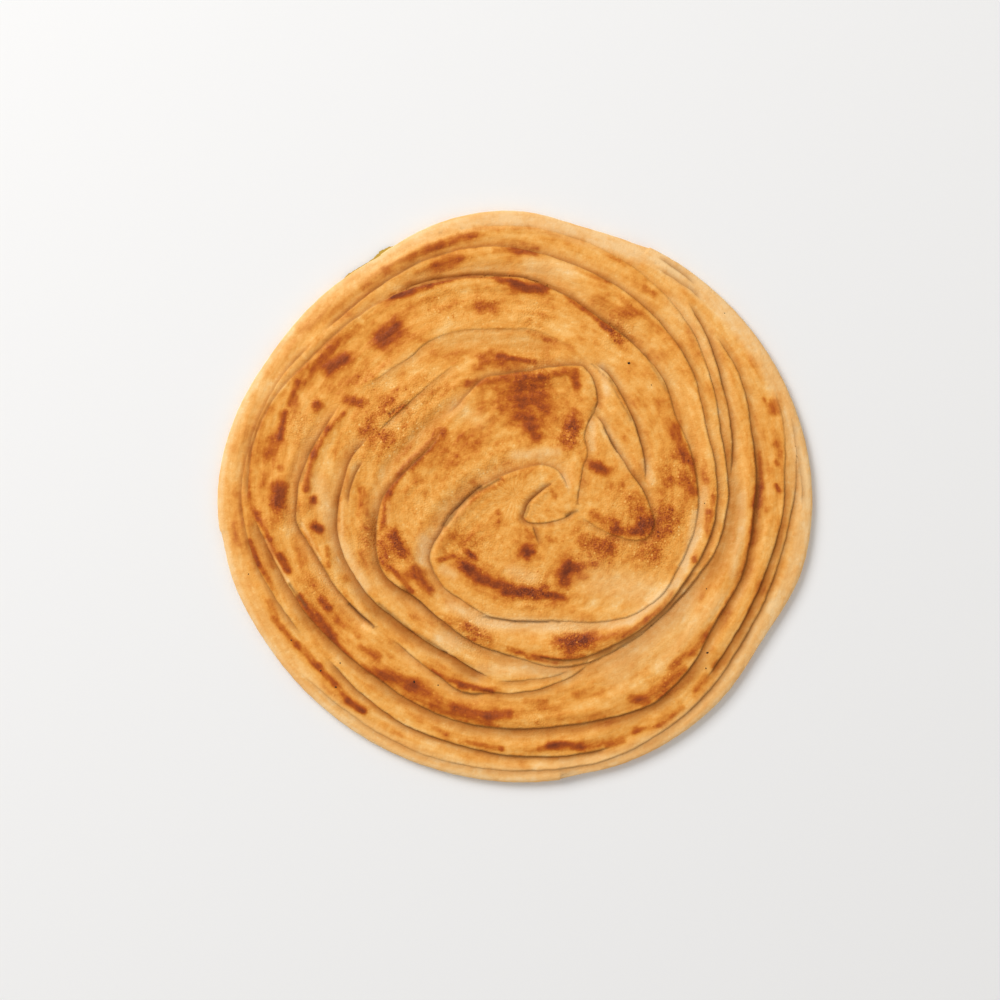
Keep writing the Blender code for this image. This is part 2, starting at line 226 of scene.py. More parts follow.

# Browning of the upper face, and a few strokes of painted shade along folds: each stroke is x, y at both
# ends, half width, darkness
browningAndShade = (
    # middle
    (-14, 33, 2, 34.6, 1.4, 0.55), (-20, 31.4, -15, 33.2, 1.3, 0.35), (-10, 26.6, -4, 26, 2, 0.36),
    (2, 33.6, 9, 34.8, 1.5, 0.6), (8, 34.8, 15, 36.4, 1.4, 0.65), (17.3, 36, 18, 32, 1.6, 0.85),
    (2, 31, 3, 26, 5.6, 0.72), (-3, 31, 8, 30, 3.6, 0.45), (8.6, 30, 10, 25, 2.6, 0.5),
    (1, 23, 4, 21, 2, 0.4), (4.6, 21, 6, 17.6, 2.4, 0.85), (16.8, 20, 16, 15.8, 2.7, 0.78),
    (17.4, 24.5, 16, 22, 2, 0.45), (23.2, 8.8, 26, 7.4, 2.1, 0.92), (-20, 12, -13, 15.4, 4.6, 0.45),
    (-13, 18, -8, 20.5, 1.8, 0.26), (-26.6, 29, -20, 33, 1, 0.3), (-30, 10.2, -25, 14.4, 1.5, 0.55),
    (-25, 14.4, -21, 19, 1.7, 0.6), (-12.4, 4, -12.2, 3.6, 1.3, 0.5), (-12, 0, -4, 4, 1.3, 0.42),
    (-4, 4.2, 5, 7.4, 1.2, 0.25), (-20, -9.4, -15, -3.4, 1.3, 0.22), (-30, 7, -27, 0, 2, 0.32),
    (-5, -5.6, -4.6, -7.4, 1.8, 0.5), (10.8, 1.4, 11.6, 0, 0.9, 0.5), (-18, -12, -13, -12.8, 3.2, 0.45),
    (-22.4, -18.8, -18.4, -17.6, 0.9, 0.75), (-22, -12.5, -18.6, -8, 2.4, 0.22),
    (-13.6, -16.4, -12, -18, 1.2, 0.75), (-16, -20, -5, -25.6, 3.4, 0.3), (-5, -27.6, 12, -29.4, 3, 0.22),
    (-14.6, -20.8, -9, -24.6, 2.1, 1), (-9, -24.6, -2, -27.8, 1.5, 0.8), (-2, -27.6, 5, -28.2, 2, 1),
    (6.4, -29.6, 8.6, -27, 1.2, 0.7), (9.5, -29, 14, -29.6, 1.2, 0.85), (3.4, -16.2, 4.2, -16.6, 2.7, 1),
    (1, -11, 5, -11.2, 1.3, 0.32), (9.4, -12.4, 11.6, -12.8, 1.2, 0.35), (14.8, -21.8, 14.3, -24.6, 2.5, 1),
    (15.8, -20.8, 17.2, -21.4, 1.9, 1), (18, -22.2, 21, -24, 1.6, 0.5), (17, -21, 23, -20.3, 1.4, 0.7),
    (20.5, -13.8, 27.5, -15, 3.3, 0.6), (25, -15, 27, -15.6, 2, 0.4), (22.5, -5.4, 29, -7.6, 1.7, 0.5),
    (28.4, -9.8, 36.5, -10.8, 1.4, 0.88), (37.2, -8.8, 39.2, -8.2, 2.5, 1), (34.2, -1, 35, -3.4, 3, 0.5),
    (37, -4, 39, -7, 1.5, 0.5), (32.6, 17.1, 32.8, 16.6, 1.2, 0.45), (31.4, 13.6, 31.6, 13.2, 1, 0.3),
    (30, 2.6, 33.4, 6, 2.3, 0.3), (44.4, -4.6, 46, -7.6, 3.4, 0.6), (42, -11, 40.6, -17, 3, 0.5),
    (36, -18.5, 42, -19, 2.6, 0.25), (46.6, 12.2, 52, 10.8, 2, 0.55), (43.6, 9, 43.4, 1, 2.4, 0.25),
    (50, 4.2, 52, 1.6, 2.7, 0.66), (45, 4, 49, 6, 2, 0.3), (47, 20, 49, 13, 1.8, 0.6),
    (42, 28, 47, 19, 2, 0.4), (52, 10, 53.2, 5, 1.1, 0.4), (37, 32, 35.8, 28, 1.9, 0.32),
    (17, -35, 22, -35.6, 1.5, 0.25), (20, -24, 30, -20, 3, 0.16), (-42, 14, -28, 26, 4.5, 0.13),
    # back
    (-12, 79, 4, 78.6, 0.8, 0.36), (4, 78.6, 20, 75, 0.8, 0.42), (20, 75, 32, 68, 0.8, 0.3),
    (-30, 70.4, -22, 74, 1.6, 0.7), (-22, 74, -12, 76.8, 1.5, 0.7), (-23, 67.8, -17, 69.4, 2.3, 0.75),
    (-29, 65.6, -23, 68, 1, 0.35), (-17, 69.3, -12, 69.5, 1, 0.3), (-6, 72.2, 0, 72.3, 0.9, 0.42),
    (0, 72.2, 6, 71.8, 1.6, 0.75), (5, 71.6, 9, 71, 0.7, 0.45), (-30, 60, -25, 62, 1.4, 0.88),
    (-25, 62, -14, 64.6, 0.9, 0.6), (-14, 64.6, -5, 64, 0.8, 0.45), (-5, 63, 0, 62, 1, 0.5),
    (0, 61.5, 8.6, 60.5, 1.7, 1), (-4, 63.2, 2, 62, 1, 0.5), (-11, 56.2, -6, 55.6, 2.5, 0.5),
    (-9.6, 55.8, -6.4, 55.5, 1, 0.45), (-22, 54.5, -19, 55, 0.9, 0.35), (-18.2, 52.8, -18, 52.6, 0.5, 0.8),
    (15, 59, 20, 55, 1, 0.55), (20, 55, 26, 50, 1, 0.7), (26, 50, 31, 45.5, 1.3, 0.7),
    (24, 57.5, 29, 53.5, 2.6, 0.36), (30, 54, 37, 53.6, 2.2, 0.5), (30, 59, 34, 55, 1.2, 0.3),
    (3.6, 48.4, 9, 45.6, 0.8, 0.36), (9, 45.6, 18, 42.8, 0.9, 0.38), (-9.6, 40.3, -3, 40.5, 1.6, 0.62),
    (-5, 41, 5.6, 39.3, 0.9, 0.85), (-12, 37.6, 2, 37.9, 1.2, 0.3), (-23, 41.6, -17, 41.6, 2, 0.42),
    (18, 66.6, 28, 62.2, 0.8, 0.38), (5, 54, 15, 51, 1, 0.2), (-31, 47, -26, 45.4, 1.1, 0.35),
    # back left
    (-30, 70.6, -38, 66.6, 1.3, 0.6), (-38, 66.6, -45, 61.4, 1.5, 0.48), (-30, 59.8, -36, 58.6, 1.2, 0.85),
    (-36, 58.6, -40.5, 56.8, 0.8, 0.45), (-46, 49.8, -54, 43, 1.3, 0.5), (-54, 43, -60, 37.5, 1.3, 0.52),
    (-59, 37, -61.6, 33, 1.1, 0.45), (-35, 48.8, -39, 45.8, 3.5, 0.95), (-43.6, 52, -41, 50, 1.5, 0.36),
    (-30, 56, -24, 58, 1.5, 0.32), (-50.2, 39.6, -55, 37.5, 2.7, 0.9), (-47.5, 41, -50, 40, 2, 0.45),
    (-39, 43.4, -37, 42.2, 1.4, 0.3), (-62, 49, -50, 59, 2.8, 0.4), (-65, 45, -71, 36, 2, 0.35),
    (-77, 29, -80, 17, 1.6, 0.22),
    # left
    (-58, 26, -57.6, 26.6, 1.9, 1), (-49, 28, -44, 27.4, 1.7, 0.52), (-46.6, 27.2, -45.4, 27, 1.2, 0.4),
    (-64, 33, -66.2, 27, 1.3, 0.65), (-72, 26, -75, 20, 1.3, 0.4), (-68, 24, -69, 17, 1.4, 0.85),
    (-70.8, 15.6, -72, 12.8, 3, 0.72), (-69, 8.4, -68.8, 8, 1.1, 0.7), (-69.4, 2.6, -69.6, -2, 2.7, 0.95),
    (-75, 4.6, -75.2, 3.4, 1.8, 0.34), (-78, 0, -77, -8, 1.2, 0.4), (-76.2, -5, -71.5, -13, 0.7, 0.6),
    (-75, -6, -72, -8, 1.8, 0.42), (-78, -13, -75.2, -20, 0.9, 0.7), (-75.2, -20, -71, -27, 0.9, 0.52),
    (-72.2, -13, -71.2, -20, 1.5, 0.68), (-69, -17.5, -66.6, -22.2, 1.4, 0.9),
    (-81.8, 0, -81.6, -13, 2.4, 0.42), (-79.6, 12, -79.4, 2, 0.5, 0.35), (-77.8, 14, -78, 0, 0.5, 0.4),
    (-50, 24, -55, 19.6, 1, 0.5), (-55, 19.6, -59, 12, 1.1, 0.62), (-59, 12, -61.4, 2, 1.2, 0.72),
    # the last stroke on the next line is painted shade in a valley beside a fold
    (-61, 4.4, -61, 2, 1.2, 0.5), (-64.6, 30, -64, 25, 1.2, 0.35), (-51.6, -1, -51.6, -7, 0.9, 0.4),
    (-60, -12, -58.2, -17, 1.4, 0.36), (-59, -1, -59, -1.4, 1.3, 1), (-58.8, -9, -57.4, -9.8, 1.7, 1),
    (-55, -15, -54.4, -20.5, 0.8, 0.62), (-49.8, -24.2, -49.2, -24.5, 1.1, 0.5),
    (-53, 12.4, -53, 11.4, 1.4, 0.3), (-65, 22, -64, 14, 2, 0.25), (-62, -25, -56, -29, 2.2, 0.38),
    (-64.6, -12, -63.8, -13, 1.4, 0.3), (-65, -14, -61.6, -19.5, 1.8, 0.28),
    (-44.4, 1, -43.8, -19, 2, 0.45), (-43.4, -9, -43.2, -15, 1, 0.35), (-36.8, 1, -38.6, -9, 1.3, 0.6),
    # the second stroke on the next line is painted shade along the shadow line of a valley
    (-34, 6, -29, 11.2, 1.2, 0.62), (-36, 9.6, -31, 14.4, 1.3, 0.42), (-29, -20.6, -26.6, -23, 1.4, 0.45),
    (-36.8, 1, -34, 6, 1.2, 0.62), (-39.2, -14, -38.2, -19, 1.5, 0.55),
    (-35.4, -11.8, -33.4, -16.2, 2.5, 1), (-37, -21, -31, -24.2, 1.2, 0.5), (-43, 22, -37, 27, 2.2, 0.4),
    (-39, 28, -32, 32, 1.8, 0.3), (-50, 33, -42, 35, 2, 0.35), (-42, 20, -37, 17, 1.9, 0.5),
    (-45, 19, -42, 17, 1.4, 0.45), (-36.4, 23.8, -32, 26.4, 0.9, 0.5),
    (-29.6, -22, -25.6, -27.2, 2.2, 0.75), (-35, -22, -30.2, -28, 0.9, 0.6),
    (-30, -36, -24, -38, 1.6, 0.25),
    # front left
    (-63, -30, -58, -36, 1.8, 0.9), (-58, -36, -54, -41, 2.1, 0.92), (-54, -41, -50, -46, 0.8, 0.5),
    (-50, -46, -44, -50, 0.8, 0.35), (-57, -30, -54.6, -33, 1.4, 0.8), (-52, -36.5, -46, -41, 1.1, 0.5),
    (-45, -44.6, -40.2, -47, 1.5, 0.5), (-43, -51, -36, -53.5, 1.4, 0.68),
    (-38, -52.6, -30, -55, 2.6, 0.72), (-71, -36, -64, -43.5, 1.1, 0.58), (-64, -43.5, -58, -50, 1.2, 0.7),
    (-58, -50, -53, -55, 1.1, 0.75), (-53, -55, -48.5, -60, 1, 0.6), (-49, -60.2, -44.4, -63, 1.4, 1),
    (-72, -31, -70.2, -36, 1.3, 0.4), (-55.4, -57.2, -54.6, -57.8, 1.4, 0.25),
    (-35.4, -69.8, -34.4, -70.4, 1.5, 0.3),
    # front
    (-30, -56.2, -24, -60, 2.9, 0.6), (-24, -61.4, -18, -63, 1.7, 0.45), (-22, -62, -2, -64.6, 2.8, 0.3),
    (-17, -63, -8, -65, 2.3, 0.75), (-8, -64.6, -2, -64, 1.7, 0.78), (-8, -67.2, -4, -68, 1, 0.4),
    (-24, -51.6, -16, -55.2, 0.9, 0.6), (-16, -55.4, -7, -57.3, 1.1, 0.82),
    (-20, -36.6, -12, -39.4, 1.7, 0.45), (-13.4, -38.6, -8.4, -40.4, 1.6, 0.45),
    (-14, -41.6, -9, -42.6, 0.9, 0.4), (-7, -41.8, -6.6, -42.4, 1.2, 0.55), (-2, -44.6, 4, -47, 0.9, 0.58),
    (4, -47, 12, -48.3, 1, 0.8), (12, -48.2, 20, -47, 0.8, 0.58), (20, -47.2, 28, -44.4, 0.8, 0.2),
    (32, -41.6, 42, -33.2, 0.8, 0.4), (42, -33, 50, -25, 0.8, 0.4), (13, -42.6, 23, -42.2, 2.6, 0.6),
    (16.4, -43.2, 20, -42.4, 2.7, 1), (25, -41.6, 32, -40, 1.2, 0.35), (3, -60, 9, -60.6, 1.2, 0.48),
    (8, -62.6, 11, -62.2, 1.2, 0.3), (14, -66.4, 26, -65.4, 2.8, 0.4), (18, -58.2, 25, -57.6, 1.7, 0.48),
    (5.8, -65.6, 6.4, -66.4, 1.4, 0.25), (-16, -72, -4, -74.2, 0.9, 0.58),
    (-4.2, -73.9, -3.8, -74.2, 1, 0.45), (-15, -76.6, -6, -76.6, 1.4, 0.28),
    (2.4, -78.4, 3.2, -78.7, 1.5, 0.4), (10, -73.2, 19, -73.2, 1.5, 0.9), (7, -74.2, 12, -73.2, 1, 0.55),
    (20, -73, 28, -72.2, 1.6, 0.46), (27, -73.6, 32, -72, 0.8, 0.48), (-24, -68, -20, -69.6, 1, 0.4),
    # front right
    (34, -59, 38, -60, 1.5, 0.58), (36, -60, 44, -57, 1.9, 0.5), (44, -56, 49, -51, 2.1, 0.6),
    (46, -50, 52, -46, 1.3, 0.5), (52, -46, 56, -41, 1.1, 0.55), (56, -41, 61, -34, 1, 0.48),
    (61, -34, 64, -29, 0.9, 0.35), (40, -55.6, 45, -53.4, 1.2, 0.35), (53, -57, 56, -53, 1.2, 0.55),
    (58, -50, 60, -48.4, 0.9, 0.5), (35, -69, 42, -67.4, 0.9, 0.52), (42, -67.4, 49, -62.2, 1, 0.58),
    (30, -71.6, 35, -69.2, 0.8, 0.38), (35.8, -68.3, 36.4, -68.8, 0.9, 0.4), (30, -42, 45, -32, 0.9, 0.4),
    # right
    (71.4, 12, 71.8, 3, 1.3, 0.8), (71.4, 3, 70.8, -3, 1.2, 0.95), (70.6, -3, 69.2, -14, 1, 0.68),
    (69.2, -14, 67.2, -22, 1.1, 0.58), (67, -23, 62, -31, 1, 0.4), (75.8, 26.8, 76, 25.2, 2, 0.8),
    (73.2, 28.5, 73.4, 28, 0.7, 0.65), (77.6, 30, 78.4, 20, 0.8, 0.32), (76.6, 14.6, 77.6, 12.6, 2.1, 0.45),
    (76.8, 10, 77, 9.6, 1, 0.8), (75.4, 7.6, 75.6, 6.4, 1.4, 0.34), (76.6, 3.2, 77.4, 1.6, 0.7, 0.7),
    (73, -0.6, 73, -1.2, 0.9, 0.3), (74, -3.8, 74, -4.3, 1, 0.3), (54.4, 8, 56, 4, 1.2, 0.4),
    (57.9, 0, 57.8, -2.4, 1, 0.6), (57, -5, 56.6, -11.4, 1.6, 0.5), (58.4, -23, 54.4, -30, 1.4, 0.3),
    (52.5, -18.4, 52.6, -18.9, 1, 0.7), (79, -19.4, 79, -20.6, 1.4, 0.25),
    (61.2, 41.8, 61.8, 41.2, 1.7, 0.3), (69.6, 38.8, 70.4, 38.2, 2.2, 0.34), (38, 61.2, 41, 59.2, 0.9, 0.5),
    (42, 49, 48, 44, 1.4, 0.42), (30, 50, 35, 45.6, 0.9, 0.4), (48, 44, 53, 35, 1.2, 0.34),
    (40, 42, 44, 40, 1.4, 0.24), (50, 50, 54, 42, 1.1, 0.34),
)

# Where the surface is crisp and blistered: x, y, radius, strength
crispSpots = (
    (-38, 20, 9, 1), (-31, 24, 8, 0.9), (-25, 31, 6, 0.6), (-44, 14, 6, 0.6), (4, 29, 9, 0.15),
    (-12, -14, 8, 0.6), (5, -27, 7, 0.8), (24, -15, 7, 0.8), (45, -7, 8, 0.9), (40, -16, 6, 0.9),
    (17, -42, 6, 0.9), (-8, 55, 7, 0.3), (5, 53, 6, 0.7), (-21, 56, 7, 0.6), (30, 48, 5, 0.9),
    (-43, -12, 5, 0.8), (-36, -16, 6, 0.8), (-12, -40, 7, 0.9), (17, 18, 5, 0.8), (48, 8, 7, 0.5),
    (60, 2, 5, 0.3), (-63, 20, 5, 0.8), (-57, -26, 7, 0.6), (6, -66, 5, 0.5), (45, -53, 8, 0.25),
    (-5, 10, 6, 0.4), (32, -3, 7, 0.6), (7, 38, 6, 0.4), (-42, 34, 6, 0.4), (-66, -6, 7, 0.4),
    (-28, -2, 7, 0.5), (-15, 4, 6, 0.4), (30, -14, 5, 0.5),
)

# Where the dough stayed soft, pale and smooth, and thin painted highlights along lit lips on the left: x, y
# at both ends, half width, strength
paleStrokes = (
    (-10, -37, 20, -38.5, 2.2, 0.9), (-19, -32, -10, -37, 1.8, 0.6), (-27.4, -19, -27, -13, 2, 0.8),
    (-24, -13, -15, -2, 1.6, 0.5), (-38, 36.5, -31, 41, 1.6, 0.15), (-17, 26, -10, 22, 2.6, 0.3),
    (0, 12, 12, 13, 1.6, 0.6), (14, 6, 15.5, 3, 1, 0.6), (-58, 4, -54, -8, 3, 0.5),
    (-52, -12, -44, -27, 1.8, 0.7), (5, 68, 16, 66, 3, 0.5), (-18, -43, -22, -42, 3, 0.6),
    (-10, -51, 15, -51, 2, 0.5), (63.6, -23, 66.4, -10, 1.3, 0.5), (66.4, -10, 66.6, 0, 1.3, 0.5),
    # the three strokes on the next line, and the thin one at x -50.8 after it, are painted highlights on lips
    # that face the light
    (-73, -13, -70, -19, 0.45, 0.9), (-70, -19, -66.5, -25, 0.45, 0.9), (-62.4, -8, -57, -18.6, 0.45, 0.7),
    (-63, 28, -63, 6, 3, 0.1), (-50.8, -2, -50.6, -12, 0.5, 0.6), (53, -5, 50, -20, 1.2, 0.7),
    (30, -52, 50, -30, 5, 0.4), (25, 22, 33, 8, 1.4, 0.3), (46, 57, 58, 42, 3, 0.3),
    (38, 10, 40, 4, 1.4, 0.6), (82.5, 28, 84, 0, 3, 0.6), (-8, 81.6, 12, 81, 2, 0.8),
    (-36, 72, -8, 81.8, 1.6, 0.8), (-21, -21.5, -18, -23, 1.6, 0.7), (-1, -22, 5, -24, 2.2, 0.6),
    (20, -38.8, 34, -36.6, 1.3, 0.8), (34, -36.6, 47, -26, 1.3, 0.8), (47, -26, 54, -10, 1.3, 0.8),
    (54, -10, 55.5, 2, 1.2, 0.6), (22, -24, 38, -28, 5, 0.5), (25.5, 38, 27, 30, 1.2, 0.7),
    (22.4, 21, 22.6, 14, 1.2, 0.7), (42, -50, 60, -30, 2.2, 0.35), (-37, -2, -37.5, -8, 0.6, 0.5),
)

# How pale the rim is, every 45 degrees clockwise from the back
paleRim = (0.9, 0.8, 0.7, 0.6, 0.6, 0.4, 0.2, 0.4, 0.9)


def smoothStep(low, high, value):
    share = unit((value - low) / (high - low))
    return share * share * (3.0 - 2.0 * share)


def unit(value):
    return np.clip(value, 0.0, 1.0)


def bell(distance, width, power=2):
    return np.exp(-(distance / width) ** power)


def noiseOf(points, size, seed=0.0):
    # soft noise, -1 to 1, of points in millimetres
    return np.array([noise.noise((x / size + seed, y / size - seed, seed)) for x, y in points])


def layeredNoise(points, layers, shift=0):
    # each layer is a height, a size and a seed
    return sum(height * noiseOf(points, size, seed + shift) for height, size, seed in layers)


def polar(points):
    # distance from the middle and clock angle
    return np.hypot(points[:, 0], points[:, 1]), np.degrees(np.arctan2(points[:, 0], points[:, 1]))


def rimRadius(angles):
    radii = np.array(bread["outline"])
    count = len(radii)
    place = np.asarray(angles) % 360.0 / 360.0 * count
    index = np.floor(place).astype(int)
    t = place - index
    before, here, after, beyond = (radii[(index + k) % count] for k in (-1, 0, 1, 2))
    bend = 2.0 * before - 5.0 * here + 4.0 * after - beyond
    curl = 3.0 * (here - after) + beyond - before
    radius = here + 0.5 * t * (after - before + bend * t + curl * t * t)
    for at, drop, spread in bread["ledges"]:
        behind = (at - np.asarray(angles)) % 360.0
        radius = radius - drop * np.exp(-behind / spread) * smoothStep(0.0, bread["ledgeTurn"], behind)
    return radius


def clockPoint(angle, radius):
    turn = math.radians(angle)
    return radius * math.sin(turn), radius * math.cos(turn)


def curveThrough(points, gap):
    # Catmull-Rom curve through the points, in even steps
    points = np.array(points, float)
    ends = np.vstack((2 * points[0] - points[1], points, 2 * points[-1] - points[-2]))
    fine = []
    for k in range(len(points) - 1):
        a, b, c, d = ends[k:k + 4]
        t = np.linspace(0.0, 1.0, 24, endpoint=False)[:, None]
        fine.append(b + 0.5 * t * (c - a + t * (2 * a - 5 * b + 4 * c - d + t * (3 * (b - c) + d - a))))
    fine = np.vstack(fine + [points[-1:]])
    length = np.concatenate(([0.0], np.cumsum(np.linalg.norm(np.diff(fine, axis=0), axis=1))))
    count = max(int(length[-1] / gap), 6)
    steps = np.linspace(0.0, length[-1], count + 1)
    return np.column_stack([np.interp(steps, length, fine[:, k]) for k in (0, 1)]), steps


def alongCourse(steps, values):
    # values spread evenly over a length
    return np.interp(steps / steps[-1], np.linspace(0.0, 1.0, len(values)), values)


def taperOf(steps, fadeIn, fadeOut):
    return smoothStep(0.0, fadeIn, steps) * smoothStep(0.0, fadeOut, steps[-1] - steps)


def pointTree(points):
    tree = KDTree(len(points))
    for k, (x, y) in enumerate(points):
        tree.insert((x, y, 0.0), k)
    tree.balance()
    return tree


# How folds waver and open along their length: each noise layer is a height, a size and a seed
waver = {
    "sway": ((0.26, 7.0, 0.3), (0.15, 2.0, 5.3)),
    "open": ((0.45, 11.0, 9.1),),
    "gape": ((1.3, 6.0, 4.7),),
    "gapeBase": 0.75,
    "gapeMost": 1.6,
    "shadeGain": 1.15,
}


def layFold(number, fold):
    # the fold's line, the way to its lower side, and how open it is along its length
    fold = {**foldStyle, **fold}
    ring = [clockPoint(fold["start"] + fold["step"] * k, radius) for k, radius in enumerate(fold["radii"])]
    line, steps = curveThrough(ring + list(fold["tail"]), bread["rowGap"])
    along = np.gradient(line, axis=0)
    along /= np.linalg.norm(along, axis=1)[:, None]
    low = np.column_stack((-along[:, 1], along[:, 0]))
    if fold["up"] == "out":
        low = -low
    fold["low"] = low
    fold["steps"] = steps
    fold["line"] = line + low * layeredNoise(line, waver["sway"], number)[:, None]
    fold["tree"] = pointTree(fold["line"])
    shown = taperOf(steps, *fold["fade"]) * alongCourse(steps, fold["bold"])
    fold["open"] = shown * (1.0 + layeredNoise(line, waver["open"], number))
    gape = waver["gapeBase"] + layeredNoise(line, waver["gape"], number)
    fold["gape"] = np.clip(shown * gape, 0.0, waver["gapeMost"])
    fold["wide"] = alongCourse(steps, fold["shadeWidth"])
    fold["dim"] = alongCourse(steps, fold["shadeDepth"]) * unit(waver["shadeGain"] * shown)
    return fold


toLight = np.array((-0.707, 0.707))     # in plan
farAway = 99.0                          # stands for points that are too far off to count

# Rows laid along each fold: how far to the lower side they start, and how far they then shift
foldRows = {"shoulder": (-0.55, 0.0), "lip": (-0.12, 0.17), "under": (0.12, -0.22), "toe": (0.38, -0.06)}
rowStarts, rowShifts = np.array(tuple(foldRows.values())).T


def foldDistance(fold, points, reach):
    # distance to the fold's line and the nearest place on it; far points are skipped
    distance = np.full(len(points), farAway)
    nearest = np.zeros(len(points), int)
    low = fold["line"].min(axis=0) - reach
    high = fold["line"].max(axis=0) + reach
    lineRadius = np.linalg.norm(fold["line"], axis=1)
    radius = np.linalg.norm(points, axis=1)
    near = np.all((points > low) & (points < high), axis=1)
    near &= (radius > lineRadius.min() - reach) & (radius < lineRadius.max() + reach)
    find = fold["tree"].find
    for k in np.nonzero(near)[0]:
        _, nearest[k], distance[k] = find((points[k, 0], points[k, 1], 0.0))
    return distance, nearest


def spreadPoints(gap, inset, clear):
    # staggered points inside the rim, each nudged a little, and none close to a fold's rows
    reach = max(bread["outline"]) + 1.0
    rowShare = 0.866        # height of an even triangle
    points = []
    for row in range(int(2 * reach / (gap * rowShare))):
        x = np.arange(-reach + (row % 2) * gap / 2, reach, gap)
        points.append(np.column_stack((x, np.full(len(x), -reach + row * gap * rowShare))))
    points = np.vstack(points)
    size = gap * bread["nudgeSize"]
    nudge = np.column_stack((noiseOf(points, size, 3.1), noiseOf(points, size, 7.7)))
    points = points + nudge * gap * bread["nudge"]
    radius, angle = polar(points)
    points = points[radius < rimRadius(angle) - inset - gap * 0.6]
    if not clear:
        return points
    free = np.ones(len(points), bool)
    for fold in laidFolds:
        free &= foldDistance(fold, points, clear)[0] > clear
    return points[free]


def baseHeight(points):
    radius, angle = polar(points)
    edge = rimRadius(angle)
    inward = unit((edge - radius) / bread["rimWidth"])
    rise = bread["rimRise"] * np.sqrt(unit(1.0 - (1.0 - inward) ** 2))
    dome = bread["crown"] * (1.0 - (radius / edge) ** 2)
    return bread["edgeRise"] + rise + dome


# Section of a fold. lipDrop and lipWidth: full, and how much less where the fold faces the light
foldShape = {
    "reach": 8.0,
    "facing": (0.65, 0.35, 0.3),     # on average, more by direction, least
    "lipDrop": (0.75, 0.45),
    "lipWidth": (2.1, 1.2),
    "dipStart": 0.2,                 # where the valley starts to rise, as a share of its width
    "slotDepth": 0.15,
    "slotWidth": 0.5,
    "push": (0.35, 0.65, 1.3),       # by opening, by gape, most
    # creaseShade and creaseWidth set the painted shade along each crease
    "creaseShade": (0.3, 0.6),            # by opening, by gape
    "creaseWidth": (0.16, 0.45),     # above and below the lip
    "lipGlow": 1.4,
    "valleyEdge": 1.2,
    "shadeSpread": (0.75, 0.35),     # always, and by gape
    "shadeFloor": 0.15,
    "shadePower": 2.6,               # 2 is a bell curve, more is flatter with a steeper edge
    "creasePower": 1.5,
    "apart": 40.0,                   # keeps the layers' noise of one fold off that of the next
}


def foldRelief(points, owner, row):
    # height added by every fold, and how near each point is to a lip, a crease or a valley
    count = len(points)
    height = np.zeros(count)
    marks = {name: np.zeros(count) for name in ("lip", "creaseShade", "valley", "shade", "nearLow")}
    shift = np.zeros((count, 2))
    closest = np.full(count, farAway)
    across = np.zeros((count, 2))
    facingMean, facingMore, facingLeast = foldShape["facing"]
    dropMost, dropLit = foldShape["lipDrop"]
    widthMost, widthLit = foldShape["lipWidth"]
    creaseAbove, creaseBelow = foldShape["creaseWidth"]
    spread, spreadMore = foldShape["shadeSpread"]
    for number, fold in enumerate(laidFolds):
        distance, nearest = foldDistance(fold, points, foldShape["reach"])
        low = fold["low"][nearest]
        side = np.sum((points - fold["line"][nearest]) * low, axis=1)
        mine = owner == number
        side[mine] = rowStarts[row[mine]]
        distance[mine] = np.abs(side[mine])
        near = distance < 0.9 * farAway
        opening, gape, dim = (np.where(near, fold[name][nearest], 0.0) for name in ("open", "gape", "dim"))
        upper = side <= 0.0
        # folds that face the light need a darker valley than those that already lie in shadow
        facing = np.clip(facingMean + facingMore * low @ toLight, facingLeast, 1.0)
        far = unit(distance / fold["reach"])
        hump = (1.0 - far) ** 2 * (1.0 + 2.0 * far)
        rounding = (dropMost - dropLit * facing) * bell(distance, widthMost - widthLit * facing)
        rise = fold["lift"] * opening * (hump - rounding)
        bottom = 1.0 - smoothStep(foldShape["dipStart"] * fold["dip"], fold["dip"], distance)
        slot = foldShape["slotDepth"] * gape * facing * bell(distance, foldShape["slotWidth"])
        sink = -fold["tuck"] * opening * bottom - slot
        height += np.where(upper, rise, sink)
        push = np.zeros(count)
        push[mine] = rowShifts[row[mine]]
        byOpening, byGape, most = foldShape["push"]
        shift += (push * facing * np.clip(byOpening * opening + byGape * gape, 0.0, most))[:, None] * low
        strength = unit(opening)
        # painted shade along the crease, stronger where the fold faces the light
        dark = np.where(upper, bell(distance, creaseAbove),
                        bell(distance, creaseBelow, foldShape["creasePower"]))
        wide = fold["wide"][nearest] * (spread + spreadMore * unit(gape))
        shade = bell(distance, wide, foldShape["shadePower"]) + foldShape["shadeFloor"] * bottom
        byOpening, byGape = foldShape["creaseShade"]
        found = {"lip": np.where(upper, strength * bell(distance, foldShape["lipGlow"]), 0.0),
                 "creaseShade": unit(byOpening * opening + byGape * gape) * dark * facing,
                 "valley": np.where(upper, 0.0, strength * bottom),
                 "shade": np.where(upper, 0.0, dim * shade),
                 "nearLow": np.where(upper, 0.0, strength * bell(distance, foldShape["valleyEdge"]))}
        for name, share in found.items():
            marks[name] = np.maximum(marks[name], np.where(near, share, 0.0))
        closer = distance < closest
        closest[closer] = distance[closer]
        beside = side + foldShape["apart"] * number
        across[closer] = np.column_stack((fold["steps"][nearest], beside))[closer]
    return height, shift, marks, across


# How ridges and hollows fade at both ends and waver along their length
swellShape = {"fade": (8.0, 8.0), "waver": 0.3, "waverSize": 9.0, "seed": 3.7, "reach": 3.0}


